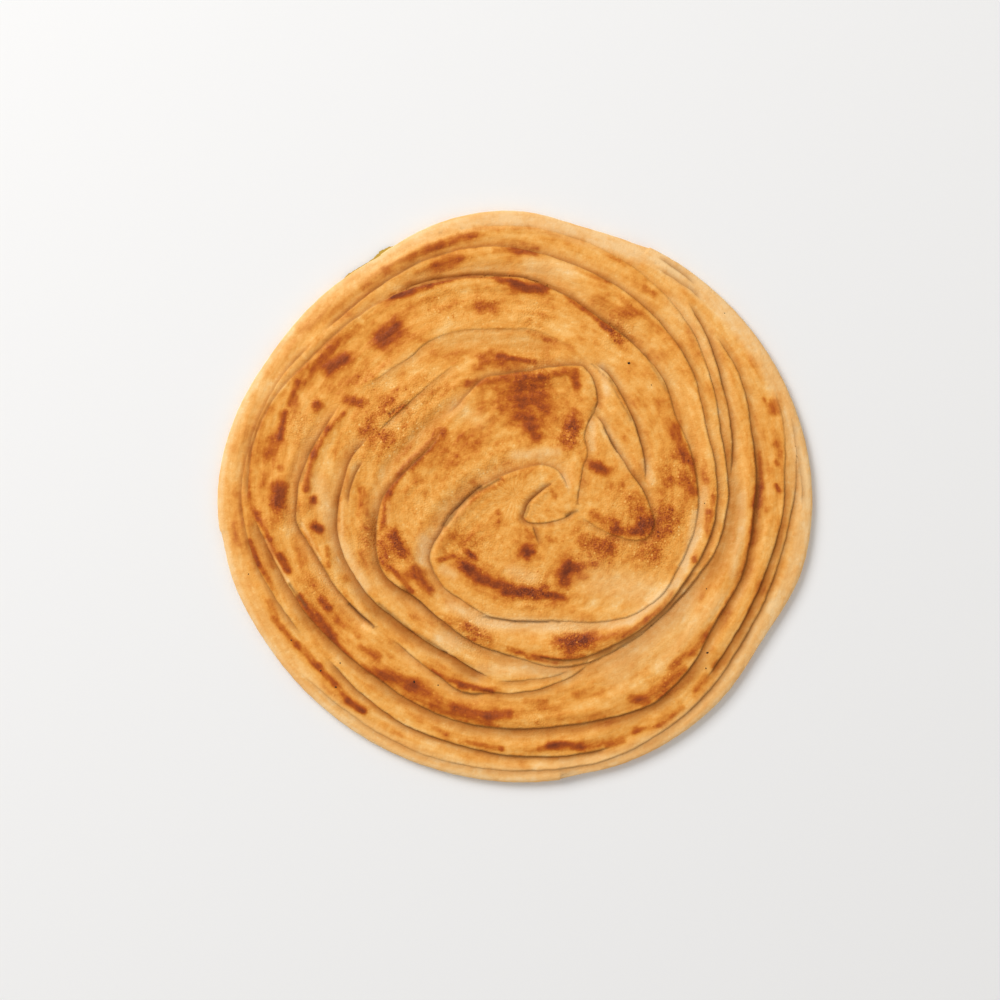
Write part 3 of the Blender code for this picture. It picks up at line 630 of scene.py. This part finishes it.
def swellRelief(points):
    # height added by every ridge and hollow, each fading out at both ends
    height = np.zeros(len(points))
    for number, (lift, width, course) in enumerate(swells):
        line, steps = curveThrough(course, 1.0)
        waves = noiseOf(line, swellShape["waverSize"], number + swellShape["seed"])
        taper = taperOf(steps, *swellShape["fade"]) * (1.0 + swellShape["waver"] * waves)
        swell = {"line": line, "tree": pointTree(line)}
        distance, nearest = foldDistance(swell, points, swellShape["reach"] * width)
        near = distance < 0.9 * farAway
        height += np.where(near, lift * taper[nearest] * bell(distance, width), 0.0)
    return height


# Edge of a stroke: its warp is a share, a size and a seed for each layer
strokeEdge = {
    "warp": ((0.65, 5.0, 21.0), (0.35, 1.8, 41.0)),
    "warpMost": 0.7,
    "warpWidth": 2.4,                # half width at which the whole warp would apply
    "crisp": (1.4, 0.35),
    "core": (0.45, 0.6),             # share and size of the two soft parts
    "fringe": (0.55, 1.4),
    "softness": (0.15, 0.4),         # of narrow strokes, and how much softer broad ones are
    "broad": (0.9, 1.4),             # half width from which softness grows, and over how much more
    "reach": (2.6, 3.0),             # per half width, and always
    "haloSize": 2.2,
}


def strokeShare(points, stroke, warp, halo):
    # 1 inside the stroke, 0 outside, with an uneven soft edge
    x0, y0, x1, y1, halfWidth, strength = stroke
    start = np.array((x0, y0), float)
    way = np.array((x1, y1), float) - start
    reachShare, reachMore = strokeEdge["reach"]
    reach = reachShare * halfWidth + reachMore
    low, high = np.minimum(start, start + way) - reach, np.maximum(start, start + way) + reach
    share = np.zeros(len(points))
    near = np.all((points > low) & (points < high), axis=1)
    local = points[near] + warp[near] * min(strokeEdge["warpMost"], halfWidth / strokeEdge["warpWidth"])
    along = unit((local - start) @ way / (way @ way))
    size = np.linalg.norm(local - start - along[:, None] * way, axis=1) / halfWidth
    crispShare = smoothStep(*strokeEdge["crisp"], size)
    softShare = sum(part * bell(size, spread) for part, spread in (strokeEdge["core"], strokeEdge["fringe"]))
    least, more = strokeEdge["softness"]
    broadFrom, broadOver = strokeEdge["broad"]
    softness = least + more * min(max((halfWidth - broadFrom) / broadOver, 0.0), 1.0)
    share[near] = crispShare + (softShare - crispShare) * softness
    share[near] += (1.0 - share[near]) * halo * bell(size, strokeEdge["haloSize"])
    return strength * share


def strokeMask(points, strokes, halo=0.0):
    warp = sum(share * np.column_stack((noiseOf(points, size, seed), noiseOf(points, size, seed + 10.0)))
               for share, size, seed in strokeEdge["warp"])
    left = np.ones(len(points))
    for stroke in strokes:
        left *= 1.0 - strokeShare(points, stroke, warp, halo)
    return 1.0 - left


def triangulate(points, edges):
    # triangles that keep to the edges, and the points that each corner came from
    out = delaunay_2d_cdt([Vector(p) for p in points], edges, [], 1, 1e-4, True)
    return np.array([tuple(v) for v in out[0]]), [tuple(face) for face in out[2]], out[3]


def upperFace():
    # points of the upper face, joined into triangles that follow every fold
    count = int(2 * math.pi * bread["radius"] / bread["rimGap"])
    inset = bread["inset"]
    rimAngles = np.arange(count) * 360.0 / count
    rimPoints = np.array([clockPoint(a, r - inset) for a, r in zip(rimAngles, rimRadius(rimAngles))])
    points = [rimPoints]
    owners = [np.full(count, -1)]
    rows = [np.zeros(count, int)]
    edges = [(k, (k + 1) % count) for k in range(count)]
    total = count
    for number, fold in enumerate(laidFolds):
        kept = np.nonzero(fold["open"] > bread["leastOpen"])[0]
        for row, start in enumerate(rowStarts):
            points.append(fold["line"][kept] + fold["low"][kept] * start)
            owners.append(np.full(len(kept), number))
            rows.append(np.full(len(kept), row))
            edges += [(total + k, total + k + 1) for k in range(len(kept) - 1)]
            total += len(kept)
    inner = spreadPoints(bread["gap"], inset, bread["foldClear"])
    points = np.vstack(points + [inner])
    owners = np.concatenate(owners + [np.full(len(inner), -1)])
    rows = np.concatenate(rows + [np.zeros(len(inner), int)])
    flat, faces, sources = triangulate(points, edges)
    first = [ids[0] if len(ids) else -1 for ids in sources]
    owner = np.array([owners[k] if k >= 0 else -1 for k in first])
    row = np.array([rows[k] if k >= 0 else 0 for k in first])
    rimPlace = {k: place for place, ids in enumerate(sources) for k in ids if k < count}
    rimOrder = [rimPlace[k] for k in range(count)]
    print("upper face:", len(flat), "points,", len(faces), "triangles")
    return flat, owner, row, faces, rimOrder, rimAngles


def lowerFace(start, ring):
    # underside points within a given ring of rim points
    inner = spreadPoints(bread["underGap"], bread["underInset"], 0.0)
    edges = [(k, (k + 1) % len(ring)) for k in range(len(ring))]
    flat, faces, sources = triangulate(np.vstack((ring, inner)), edges)
    place = {}
    extra = []
    for k, ids in enumerate(sources):
        known = [i for i in ids if i < len(ring)]
        if known:
            place[k] = start - len(ring) + known[0]
        else:
            place[k] = start + len(extra)
            extra.append(flat[k])
    return np.array(extra), [tuple(place[k] for k in reversed(face)) for face in faces]


# Unevenness of the crust in millimetres: each noise layer is a height, a size and a seed
crustShape = {
    "swell": ((0.28, 15.0, 1.7), (0.14, 6.5, 2.9)),
    "wrinkle": ((0.10, 2.6, 4.3), (0.06, 1.3, 5.9)),
    "layers": ((0.15, 1.7, 6.1),),
    "layerLength": 7.0,
    # distances from the rim over which each kind of relief sets in
    "calmEdge": (0.3, 5.0), "foldEdge": (0.2, 2.0), "wrinkleEdge": (0.2, 1.5),
    "wrinkleCrisp": (0.6, 1.8), "wrinkleSoft": 0.6,
    "browned": 0.2,                  # how far browned places rise
    "gap": 0.5,                      # how deep gaps go
    "halo": 0.16,
    "besideLip": (0.75, 1.6),        # how far browning fades right below a lip
    "lipBase": 0.2, "lipPatches": ((1.7, 8.0, 15.0),),
    "fullSwell": 0.5,                # height of a ridge or hollow whose colour shows fully
    "hollowShade": 0.45,
    # how pale the outermost crust is, and between which distances each of two pale bands fades
    "paleMost": 0.9, "paleEdge": (3.2, 0.6), "paleBand": (6.5, 3.5),
    "under": ((0.55, 17.0, 61.0), (0.16, 5.0, 67.0)),
    "underBase": 0.22,
    "underMost": 0.6,
    # the underside browns where it lies within this height of the pan
    "underBrowned": 0.12, "underToast": 0.35, "underPatches": ((0.5, 8.0, 83.0),),
    "rimRagged": ((0.10, 2.4, 73.0),), "rimLayers": ((0.9, 9.0, 71.0),),
}


def crustRelief(flat, owner, row):
    # the place of each point of the upper face, and what its colour depends on
    height, shift, marks, across = foldRelief(flat, owner, row)
    nearLow = marks.pop("nearLow")
    # browning marks, with the few strokes of painted shade among them
    toast = strokeMask(flat, browningAndShade, crustShape["halo"])
    fading, gain = crustShape["besideLip"]
    toast *= 1.0 - fading * unit(gain * marks["valley"]) * nearLow
    crisp = strokeMask(flat, [(x, y, x + 0.01, y, radius, strength) for x, y, radius, strength in crispSpots])
    softAndLitLips = strokeMask(flat, paleStrokes)
    gap = strokeMask(flat, gaps)
    radius, angle = polar(flat)
    inward = rimRadius(angle) - radius
    calm = smoothStep(*crustShape["calmEdge"], inward)
    least, more = crustShape["wrinkleCrisp"]
    wrinkle = layeredNoise(flat, crustShape["wrinkle"]) * (least + more * crisp)
    wrinkle *= 1.0 - crustShape["wrinkleSoft"] * softAndLitLips
    layered = layeredNoise(across / np.array((crustShape["layerLength"], 1.0)), crustShape["layers"])
    broad = swellRelief(flat)
    z = baseHeight(flat) + height * smoothStep(*crustShape["foldEdge"], inward) + broad * calm
    fine = (wrinkle + layered) * smoothStep(*crustShape["wrinkleEdge"], inward)
    z += layeredNoise(flat, crustShape["swell"]) * calm + fine
    z += (crustShape["browned"] * toast - crustShape["gap"] * gap) * calm
    # ridge carries a painted highlight: the crests of the broad ridges are drawn paler
    ridge, hollow = (unit(way * broad / crustShape["fullSwell"]) for way in (1, -1))
    marks["lip"] *= crustShape["lipBase"] + layeredNoise(flat, crustShape["lipPatches"])
    marks["shade"] = np.maximum(marks["shade"], crustShape["hollowShade"] * hollow)
    # the gaps get the painted crease shade too
    marks["creaseShade"] = np.maximum(marks["creaseShade"], gap)
    rimShare = np.interp(angle % 360.0, np.linspace(0.0, 360.0, len(paleRim)), paleRim)
    edgePale = crustShape["paleMost"] * smoothStep(*crustShape["paleEdge"], inward)
    bandPale = rimShare * smoothStep(*crustShape["paleBand"], inward)
    pale = np.maximum(np.maximum(edgePale, bandPale), softAndLitLips)
    values = {"toast": toast, "pale": pale, "crisp": crisp, "softAndLitLips": np.maximum(softAndLitLips, pale), **marks,
              "ridge": ridge, "hollow": hollow}
    return np.column_stack((flat + shift, z)), values


def underHeight(points):
    # the underside touches down in broad patches and lifts a little between them
    swell = crustShape["underBase"] + layeredNoise(points, crustShape["under"])
    return np.clip(swell, 0.0, crustShape["underMost"])


# The rim from the upper face down to the underside: inset from the outline, share of the height
rimRows = ((0.10, 0.88), (0.0, 0.74), (0.05, 0.62), (0.38, 0.55), (0.14, 0.47), (0.10, 0.36),
           (0.42, 0.27), (0.28, 0.18), (0.7, 0.07), (1.5, 0.03))
rimSlots = (0.38, 0.42)     # the insets that lie between two layers of the rim


def breadMesh():
    flat, owner, row, faces, rimOrder, rimAngles = upperFace()
    top, values = crustRelief(flat, owner, row)
    parts = [top]
    count = len(rimOrder)
    above = rimOrder
    total = len(top)
    turn = np.radians(rimAngles)
    rim = top[rimOrder, :2]
    outer = rimRadius(rimAngles) + layeredNoise(rim, crustShape["rimRagged"])
    layers = layeredNoise(rim, crustShape["rimLayers"])
    for inset, share in rimRows:
        radius = outer - inset * (1.0 + layers * (inset in rimSlots))
        z = top[rimOrder, 2] * share
        parts.append(np.column_stack((radius * np.sin(turn), radius * np.cos(turn), z)))
        below = range(total, total + count)
        for k in range(count):
            after = (k + 1) % count
            faces.append((above[k], above[after], below[after], below[k]))
        above = below
        total += count
    extra, underFaces = lowerFace(total, parts[-1][:, :2])
    faces += underFaces
    underZ = underHeight(extra)
    parts.append(np.column_stack((extra, underZ)))
    underToast = crustShape["underToast"] + layeredNoise(extra, crustShape["underPatches"])
    underToast *= smoothStep(crustShape["underBrowned"], 0.0, underZ)
    points = np.vstack(parts) * mm

    mesh = bpy.data.meshes.new("bread")
    mesh.from_pydata([tuple(p) for p in points], [], faces)
    mesh.shade_smooth()
    for name, numbers in values.items():
        side = np.full(count * len(rimRows), 1.0 if name == "pale" else 0.0)
        under = unit(underToast) if name == "toast" else np.zeros(len(extra))
        layer = mesh.attributes.new(name, "FLOAT", "POINT")
        layer.data.foreach_set("value", np.concatenate((numbers, side, under)).astype(np.float32))
    triangles = sum(len(face) - 2 for face in faces)
    print("bread:", len(mesh.vertices), "points,", triangles, "triangles")
    return mesh


def nodeMaker(tree):
    # short way to add a node: its kind, what feeds its inputs, and its settings
    def add(kind, inputs=None, **settings):
        node = tree.nodes.new(kind if kind.startswith("Node") else "ShaderNode" + kind)
        for name, value in settings.items():
            setattr(node, name, value)
        for name, value in (inputs or {}).items():
            socket = node.inputs[name]
            if isinstance(value, bpy.types.NodeSocket):
                tree.links.new(value, socket)
            else:
                socket.default_value = value
        return node
    return add


def mathMaker(add):
    def mathOf(operation, *values):
        return add("Math", dict(enumerate(values)), operation=operation).outputs[0]
    return mathOf


def newGroup(name, inputs, outputs):
    group = bpy.data.node_groups.new(name, "ShaderNodeTree")
    for label, value in inputs.items():
        socket = group.interface.new_socket(label, in_out="INPUT", socket_type="NodeSocketFloat")
        socket.default_value = value
    for label in outputs:
        group.interface.new_socket(label, in_out="OUTPUT", socket_type="NodeSocketFloat")
    add = nodeMaker(group)
    return group, add, add("NodeGroupInput").outputs, add("NodeGroupOutput")


# Sizes in millimetres; streaks run round the coil; limits say how rare the painted glints and the specks are
mottle = {
    "sizes": {"Cloud Size": 6.0, "Freckle Size": 1.8, "Grain Size": 0.5, "Glint Size": 1.3},
    "detail": {"Cloud": 2.0, "Freckle": 2.0, "Grain": 1.0},
    "streaksRound": 7.0,
    "streaksOut": 450.0,
    "glintEdge": (0.34, 0.16),
    "limits": {"Glint": ("Red", 0.7), "Speck": ("Green", 0.86)},
}


def mottleGroup():
    # uneven browning: broad clouds, small freckles, fine grain and streaks round the coil, each about 0;
    # pale spots that are painted glints, and dark specks, are 0 to 1
    group, add, given, result = newGroup("mottle", mottle["sizes"],
                                         ("Cloud", "Freckle", "Grain", "Streak", "Glint", "Speck"))
    mathOf = mathMaker(add)
    place = add("TexCoord").outputs["Object"]

    def vectorOf(operation, *vectors, **more):
        return add("VectorMath", {**dict(enumerate(vectors)), **more}, operation=operation).outputs

    def centred(vector, scale, detail):
        texture = add("TexNoise", {"Vector": vector, "Scale": scale, "Detail": detail, "Roughness": 0.6})
        return mathOf("SUBTRACT", texture.outputs["Fac"], 0.5)

    for label, detail in mottle["detail"].items():
        scale = mathOf("DIVIDE", 1000.0, given[label + " Size"])
        group.links.new(centred(place, scale, detail), result.inputs[label])
    flatPlace = vectorOf("MULTIPLY", place, (1.0, 1.0, 0.0))[0]
    radius = vectorOf("LENGTH", flatPlace)["Value"]
    heading = vectorOf("NORMALIZE", flatPlace)[0]
    wide = vectorOf("SCALE", heading, Scale=mottle["streaksRound"])[0]
    lift = add("CombineXYZ", {"Z": mathOf("MULTIPLY", radius, mottle["streaksOut"])}).outputs[0]
    ringed = vectorOf("ADD", wide, lift)[0]
    group.links.new(centred(ringed, 1.0, 2.0), result.inputs["Streak"])
    scale = mathOf("DIVIDE", 1000.0, given["Glint Size"])
    cells = add("TexVoronoi", {"Vector": place, "Scale": scale})
    outside, inside = mottle["glintEdge"]
    spot = add("MapRange", {"Value": cells.outputs["Distance"], "From Min": outside, "From Max": inside},
               interpolation_type="SMOOTHSTEP").outputs["Result"]
    chance = add("SeparateColor", {"Color": cells.outputs["Color"]})
    for label, (channel, limit) in mottle["limits"].items():
        chosen = mathOf("GREATER_THAN", chance.outputs[channel], limit)
        group.links.new(mathOf("MULTIPLY", chosen, spot), result.inputs[label])
    return group


# How much each effect browns the dough (negative is paler), and the colours from pale to charred
dough = {
    # glint paints small highlights as pale spots, strongest where the crust is crisp
    "base": 0.329, "cloud": 0.5, "freckle": 0.34, "grain": 0.12, "streak": 0.55, "glint": -0.28,
    # ridge is a painted highlight on the crests of the broad ridges
    "speck": 0.26, "toast": 0.52, "char": 0.07, "valley": -0.05, "lip": 0.1, "pale": -0.28, "ridge": -0.03,
    "hollow": -0.04,
    "tones": ((0.0, (0.98, 0.66, 0.30)), (0.14, (0.94, 0.525, 0.165)), (0.27, (0.88, 0.425, 0.098)),
              (0.40, (0.81, 0.338, 0.056)), (0.52, (0.69, 0.240, 0.030)), (0.64, (0.55, 0.146, 0.013)),
              (0.75, (0.42, 0.084, 0.009)), (0.86, (0.29, 0.056, 0.010)), (1.0, (0.17, 0.032, 0.010))),
    # creaseShadeColor is painted shade in the creases
    "creaseShadeColor": (0.20, 0.085, 0.026), "creaseShadeShare": 0.8,
    "shadeTint": (0.48, 0.30, 0.115), "shadeShare": 0.85,
    "softAndLitLipColor": (0.82, 0.475, 0.215), "softShare": 0.5, "floorShare": 0.12,
    # effects in crisp places: gain, and what they have everywhere
    "crispGlint": (0.8, 0.25), "crispSpeck": (0.8, 0.2), "crispGrain": (2.2, 0.6), "crispToast": (0.9, 0.22),
    "toastGrain": 0.3, "toastEven": -0.7, "charPower": 6.0,
    "edging": 0.1, "edgeFreckle": 0.5, "edgeGrain": 0.25, "edgeFrom": 0.22, "edgeTo": 0.62,
    "roughness": 0.46, "roughFreckle": 0.35, "roughCrease": 0.5, "specular": 0.14,
    "bump": 0.5, "bumpFreckle": 0.35, "bumpGrain": 0.30, "bumpStreak": 0.25,
}


def doughMaterial():
    material = bpy.data.materials.new("bakedDough")
    material.use_nodes = True
    tree = material.node_tree
    tree.nodes.clear()
    add = nodeMaker(tree)
    mathOf = mathMaker(add)

    def times(a, b):
        return mathOf("MULTIPLY", a, b)

    def scaled(value, factor, added):
        return mathOf("MULTIPLY_ADD", value, factor, added)

    def layer(name):
        return add("Attribute", attribute_name=name).outputs["Fac"]

    def mixed(share, first, second, **settings):
        # sockets 6 and 7 of the mix node are its two colours, output 2 the mixed colour
        return add("Mix", {0: share, 6: first, 7: (*dough[second], 1.0)}, data_type="RGBA",
                   **settings).outputs[2]

    toast, crisp = layer("toast"), layer("crisp")
    spotted = add("Group", node_tree=groups["mottle"]).outputs
    cloud, freckle, streak = spotted["Cloud"], spotted["Freckle"], spotted["Streak"]
    glint, speck, grain = (times(spotted[label], scaled(crisp, *dough["crisp" + label]))
                           for label in ("Glint", "Speck", "Grain"))
    even = scaled(toast, dough["toastEven"], 1.0)
    tone = scaled(times(cloud, even), dough["cloud"], dough["base"])
    effects = {"freckle": times(freckle, even), "grain": grain, "streak": streak, "glint": glint,
               "speck": speck, **{name: layer(name) for name in ("lip", "valley", "pale", "ridge", "hollow")}}
    for name, value in effects.items():
        tone = scaled(value, dough[name], tone)

    # browning breaks up along its edge and where the crust is crisp
    broken = scaled(crisp, *dough["crispToast"])
    uneven = scaled(times(freckle, broken), 1.0, 1.0)
    uneven = scaled(times(grain, broken), dough["toastGrain"], uneven)
    ragged = scaled(freckle, dough["edgeFreckle"], scaled(grain, dough["edgeGrain"], toast))
    ragged = add("MapRange", {"Value": ragged, "From Min": dough["edgeFrom"], "From Max": dough["edgeTo"]},
                 interpolation_type="SMOOTHSTEP").outputs["Result"]
    ragged = times(ragged, scaled(toast, 0.5, 0.5))
    edged = scaled(mathOf("SUBTRACT", ragged, toast), dough["edging"], toast)
    tone = scaled(times(edged, uneven), dough["toast"], tone)
    # the middle of the strongest spots is charred
    tone = scaled(mathOf("POWER", toast, dough["charPower"]), dough["char"], tone)
    ramp = add("ValToRGB", {"Fac": tone})
    elements = ramp.color_ramp.elements
    while len(elements) < len(dough["tones"]):
        elements.new(0.5)
    for element, (position, color) in zip(elements, dough["tones"]):
        element.position = position
        element.color = (*color, 1.0)

    # pale soft dough, and painted highlights on lit lips
    calm = scaled(layer("softAndLitLips"), dough["softShare"], times(layer("valley"), dough["floorShare"]))
    calm = times(calm, mathOf("SUBTRACT", 1.0, toast))
    color = mixed(calm, ramp.outputs["Color"], "softAndLitLipColor")
    color = mixed(times(layer("shade"), dough["shadeShare"]), color, "shadeTint", blend_type="MULTIPLY")
    # painted shade in the creases
    color = mixed(times(layer("creaseShade"), dough["creaseShadeShare"]), color, "creaseShadeColor")
    height = scaled(freckle, dough["bumpFreckle"], times(grain, dough["bumpGrain"]))
    height = scaled(streak, dough["bumpStreak"], height)
    bump = add("Bump", {"Height": height, "Strength": dough["bump"], "Distance": mm})
    gloss = scaled(freckle, dough["roughFreckle"], dough["roughness"])
    gloss = scaled(layer("creaseShade"), dough["roughCrease"], gloss)
    shader = add("BsdfPrincipled", {"Base Color": color, "Roughness": gloss, "Normal": bump.outputs[0],
                                    "Specular IOR Level": dough["specular"]})
    add("OutputMaterial", {"Surface": shader.outputs[0]})
    return material


def plainMaterial(name, color, roughness, specular):
    material = bpy.data.materials.new(name)
    material.use_nodes = True
    inputs = material.node_tree.nodes["Principled BSDF"].inputs
    inputs["Base Color"].default_value = (*color, 1.0)
    inputs["Roughness"].default_value = roughness
    inputs["Specular IOR Level"].default_value = specular
    return material


burntGrain = {"color": (0.045, 0.022, 0.012), "roughness": 0.6, "specular": 0.2}
grainShape = {"stretch": (1.0, 0.75, 0.5, 1.0), "turn": 2.4, "ragged": 0.4, "raggedScale": 2500.0}


def grainMesh(surface):
    # every grain sits half sunk in the crust
    form = bmesh.new()
    for number, (x, y, size) in enumerate(grains):
        spot = surface.ray_cast(Vector((x * mm, y * mm, 0.05)), Vector((0.0, 0.0, -1.0)))[0]
        turn = Matrix.Rotation(grainShape["turn"] * number, 4, "Z") @ Matrix.Diagonal(grainShape["stretch"])
        grain = bmesh.ops.create_icosphere(form, subdivisions=2, radius=0.5 * size * mm,
                                           matrix=Matrix.Translation(spot) @ turn)
        for vertex in grain["verts"]:
            away = vertex.co - spot
            lump = noise.noise(away * grainShape["raggedScale"] + Vector((number, 0.0, 0.0)))
            vertex.co = spot + away * (1.0 + grainShape["ragged"] * lump)
    mesh = bpy.data.meshes.new("grains")
    form.to_mesh(mesh)
    form.free()
    mesh.shade_smooth()
    print("grains:", len(grains))
    return mesh


oilyFilm = {"color": (0.50, 0.33, 0.05), "roughness": 0.4, "specular": 0.2}
filmShape = {"steps": 60, "inside": -1.2, "heights": (0.55, 0.6, 0.8, 0.95), "ragged": 0.35,
             "raggedScale": 1.7}


def filmMesh():
    # a thin closed strip whose inner edge is hidden inside the rim
    points, faces = [], []
    angles = np.linspace(filmEdge[0][0], filmEdge[-1][0], filmShape["steps"])
    reach = np.interp(angles, *zip(*filmEdge))
    inside = filmShape["inside"]
    for angle, radius, out in zip(angles, rimRadius(angles), reach):
        lump = noise.noise((angle * filmShape["raggedScale"], 3.0, 0.0))
        outside = out * (1.0 + filmShape["ragged"] * lump)
        for distance, z in zip((inside, outside, outside, inside), filmShape["heights"]):
            points.append((*clockPoint(angle, radius + distance), z))
    last = 4 * (len(angles) - 1)
    for here in range(0, last, 4):
        after = here + 4
        for side in range(4):
            turn = (side + 1) % 4
            faces.append((here + side, here + turn, after + turn, after + side))
    faces += [(3, 2, 1, 0), (last, last + 1, last + 2, last + 3)]
    mesh = bpy.data.meshes.new("film")
    mesh.from_pydata([tuple(c * mm for c in point) for point in points], [], faces)
    print("film:", len(faces), "faces")
    return mesh


def addThing(name, data):
    thing = bpy.data.objects.new(name, data)
    bpy.context.scene.collection.objects.link(thing)
    return thing


def addPiece(name, mesh, material):
    mesh.materials.append(material)
    return addThing(name, mesh)


studio = {
    "floor": {"color": (0.86, 0.855, 0.85), "roughness": 0.8, "specular": 0.5},
    "floorSide": 3.0,
    "floorDrop": 0.0002,     # below the bread
    "world": 0.42,
    "worldColor": (1.0, 0.99, 0.975, 1.0),
    # name, place in metres, size in metres, power in watts
    "lights": (("key", (-0.95, 0.95, 1.2), 1.0, 27.0), ("fill", (1.1, -0.8, 1.5), 1.6, 5.0)),
    "lens": 85.0,
    "viewWidth": 0.2941,     # metres across the view at the bread
    "aim": (-0.0044, -0.0012),
}


def buildStudio():
    scene = bpy.context.scene
    floorMesh = bpy.data.meshes.new("floor")
    side = studio["floorSide"]
    corners = [(-side, -side, 0), (side, -side, 0), (side, side, 0), (-side, side, 0)]
    floorMesh.from_pydata(corners, [], [(0, 1, 2, 3)])
    floor = addPiece("floor", floorMesh, plainMaterial("paleFloor", **studio["floor"]))
    floor.location.z = cadBox[0].z - studio["floorDrop"]

    world = bpy.data.worlds.new("studio")
    world.use_nodes = True
    background = world.node_tree.nodes["Background"]
    background.inputs["Color"].default_value = studio["worldColor"]
    background.inputs["Strength"].default_value = studio["world"]
    scene.world = world
    for name, place, size, power in studio["lights"]:
        data = bpy.data.lights.new(name, "AREA")
        data.size = size
        data.energy = power
        lamp = addThing(name, data)
        lamp.location = place
        lamp.rotation_euler = (-Vector(place)).to_track_quat("-Z", "Y").to_euler()

    lensData = bpy.data.cameras.new("camera")
    lensData.lens = studio["lens"]
    lensData.clip_start = 0.01
    camera = addThing("camera", lensData)
    distance = studio["viewWidth"] * lensData.lens / lensData.sensor_width
    camera.location = (*studio["aim"], distance + bread["edgeRise"] * mm)
    scene.camera = camera
    scene.view_settings.view_transform = "Standard"
    print("studio:", len(studio["lights"]), "lights")


laidFolds = [layFold(number, fold) for number, fold in enumerate(folds.values())]
print("folds laid:", len(laidFolds), "in all", round(sum(f["steps"][-1] for f in laidFolds)), "mm")
groups = {"mottle": mottleGroup()}
loaf = addPiece("paratha_bread", breadMesh(), doughMaterial())
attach(loaf, "root")
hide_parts("paratha")
surface = BVHTree.FromPolygons([v.co for v in loaf.data.vertices], [f.vertices for f in loaf.data.polygons])
burnt = addPiece("paratha_grains", grainMesh(surface), plainMaterial("burntGrain", **burntGrain))
film = addPiece("paratha_film", filmMesh(), plainMaterial("oilyFilm", **oilyFilm))
for piece in (burnt, film):
    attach(piece, "root")
buildStudio()
